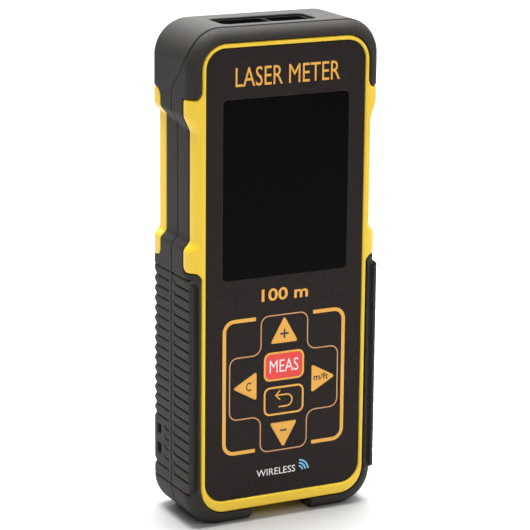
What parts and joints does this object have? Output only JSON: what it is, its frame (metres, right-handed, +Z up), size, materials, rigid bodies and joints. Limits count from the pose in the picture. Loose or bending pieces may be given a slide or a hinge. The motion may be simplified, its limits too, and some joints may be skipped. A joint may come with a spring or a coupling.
{
  "type": "laser distance meter",
  "caption": "Pocket laser distance meter with a rubber-clad yellow housing, colour screen, six-key pad, sighting aperture, battery door and flip-out end piece.",
  "frame": {"origin": "middle of the footprint, on the plane of the rubber feet that the meter stands on", "axes": "+Z up along the length to the sighting aperture, front panel faces -Y, +X to the right seen from the front"},
  "size_m": [0.0582, 0.0264, 0.1402],
  "materials": {
    "yellow_shell": "satin moulded yellow plastic",
    "rubber_jacket": "matt dark grey thermoplastic rubber",
    "panel_film": "fine-grained dark overlay film",
    "screen_glass": "glossy black window",
    "black_plastic": "black moulded plastic",
    "key_print": "orange print on a film-faced key",
    "key_red": "red print on a film-faced key",
    "key_dark": "dark film-faced key with an orange outline",
    "silicone": "silicone",
    "circuit_board": "solder-masked laminate",
    "alloy": "die-cast",
    "brass": "turned",
    "steel": "plated steel",
    "optical_glass": "coated optical glass",
    "cell_wrap": "printed sleeve on a steel can",
    "foam": "closed-cell foam",
    "label": "printed foil",
    "door_plastic": "textured black plastic",
    "latch_plastic": "satin yellow plastic"
  },
  "bodies": {
    "meter": {"front_housing": "yellow_shell", "rear_housing": "yellow_shell", "front_rubber": "rubber_jacket", "rear_rubber": "rubber_jacket", "panel_overlay": "panel_film", "display_window": "screen_glass", "display_module": "black_plastic", "buzzer": "black_plastic", "processor_chip": "black_plastic", "receiver_sensor": "black_plastic", "aperture_tub": "black_plastic", "dome_mat": "silicone", "housing_seal_left": "silicone", "housing_seal_right": "silicone", "main_board": "circuit_board", "optical_chassis": "alloy", "wireless_module": "alloy", "laser_barrel": "brass", "laser_diode": "steel", "contact_bar": "steel", "contact_left": "steel", "contact_right": "steel", "contact_spring_left": "steel", "contact_spring_right": "steel", "screw_1": "steel", "screw_2": "steel", "screw_3": "steel", "screw_4": "steel", "door_pin": "steel", "end_pin": "steel", "receiver_window": "optical_glass", "laser_window": "optical_glass", "receiver_lens": "optical_glass", "laser_lens": "optical_glass", "cell_left": "cell_wrap", "cell_right": "cell_wrap", "aperture_gasket": "foam", "back_label": "label"},
    "measure_button": {"key_measure": "key_red"},
    "back_button": {"key_back": "key_dark"},
    "plus_button": {"key_plus": "key_print"},
    "minus_button": {"key_minus": "key_print"},
    "clear_button": {"key_clear": "key_print"},
    "unit_button": {"key_unit": "key_print"},
    "door": {"battery_door": "door_plastic", "door_latch": "latch_plastic"},
    "foot_lever": {"end_piece": "alloy", "end_pad": "rubber_jacket"}
  },
  "joints": [
    {"name": "measure_press", "type": "slide", "parent": "meter", "child": "measure_button", "axis": [0, 1, 0], "range_m": [0, 0.0005], "stiffness_N_per_m": 3000, "springref_m": -0.0003},
    {"name": "back_press", "type": "slide", "parent": "meter", "child": "back_button", "axis": [0, 1, 0], "range_m": [0, 0.0005], "stiffness_N_per_m": 3000, "springref_m": -0.0003},
    {"name": "plus_press", "type": "slide", "parent": "meter", "child": "plus_button", "axis": [0, 1, 0], "range_m": [0, 0.0005], "stiffness_N_per_m": 3000, "springref_m": -0.0003},
    {"name": "minus_press", "type": "slide", "parent": "meter", "child": "minus_button", "axis": [0, 1, 0], "range_m": [0, 0.0005], "stiffness_N_per_m": 3000, "springref_m": -0.0003},
    {"name": "clear_press", "type": "slide", "parent": "meter", "child": "clear_button", "axis": [0, 1, 0], "range_m": [0, 0.0005], "stiffness_N_per_m": 3000, "springref_m": -0.0003},
    {"name": "unit_press", "type": "slide", "parent": "meter", "child": "unit_button", "axis": [0, 1, 0], "range_m": [0, 0.0005], "stiffness_N_per_m": 3000, "springref_m": -0.0003},
    {"name": "door_swing", "type": "hinge", "parent": "meter", "child": "door", "pos_m": [0, 0.01205, 0.0269], "axis": [-1, 0, 0], "range_deg": [0, 100]},
    {"name": "end_piece_fold", "type": "hinge", "parent": "meter", "child": "foot_lever", "pos_m": [0, 0.0112, 0.0035], "axis": [-1, 0, 0], "range_deg": [0, 180]}
  ]
}
